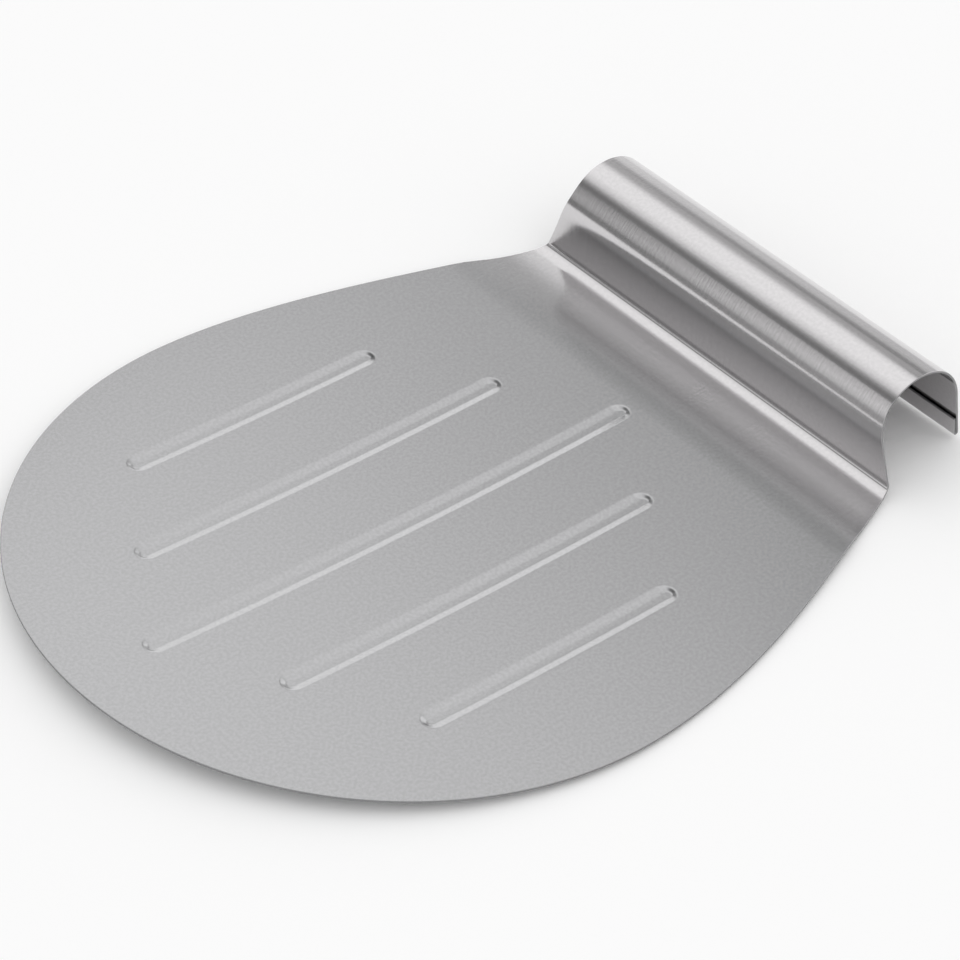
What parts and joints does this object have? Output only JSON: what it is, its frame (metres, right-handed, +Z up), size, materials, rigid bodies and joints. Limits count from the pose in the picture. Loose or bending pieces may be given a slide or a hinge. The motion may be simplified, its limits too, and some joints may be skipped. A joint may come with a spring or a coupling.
{
  "type": "cake lifter",
  "caption": "Round sheet-steel lifter for moving cakes, with pressed grooves in a faintly bowed blade and a curled, hemmed finger handle bent up at the back.",
  "frame": {"origin": "middle of the footprint, at the height of the groove undersides that the lifter stands on", "axes": "+Y from the blade's front tip to the handle, +Z up out of the blade, +X to the right seen from behind the blade's tip looking to the handle"},
  "size_m": [0.26, 0.3112, 0.0371],
  "materials": {
    "brushed_stainless_steel": "brushed lengthwise from the blade's tip up through the handle, edges deburred"
  },
  "bodies": {
    "root": {"lifter_sheet": "brushed_stainless_steel"}
  },
  "joints": []
}
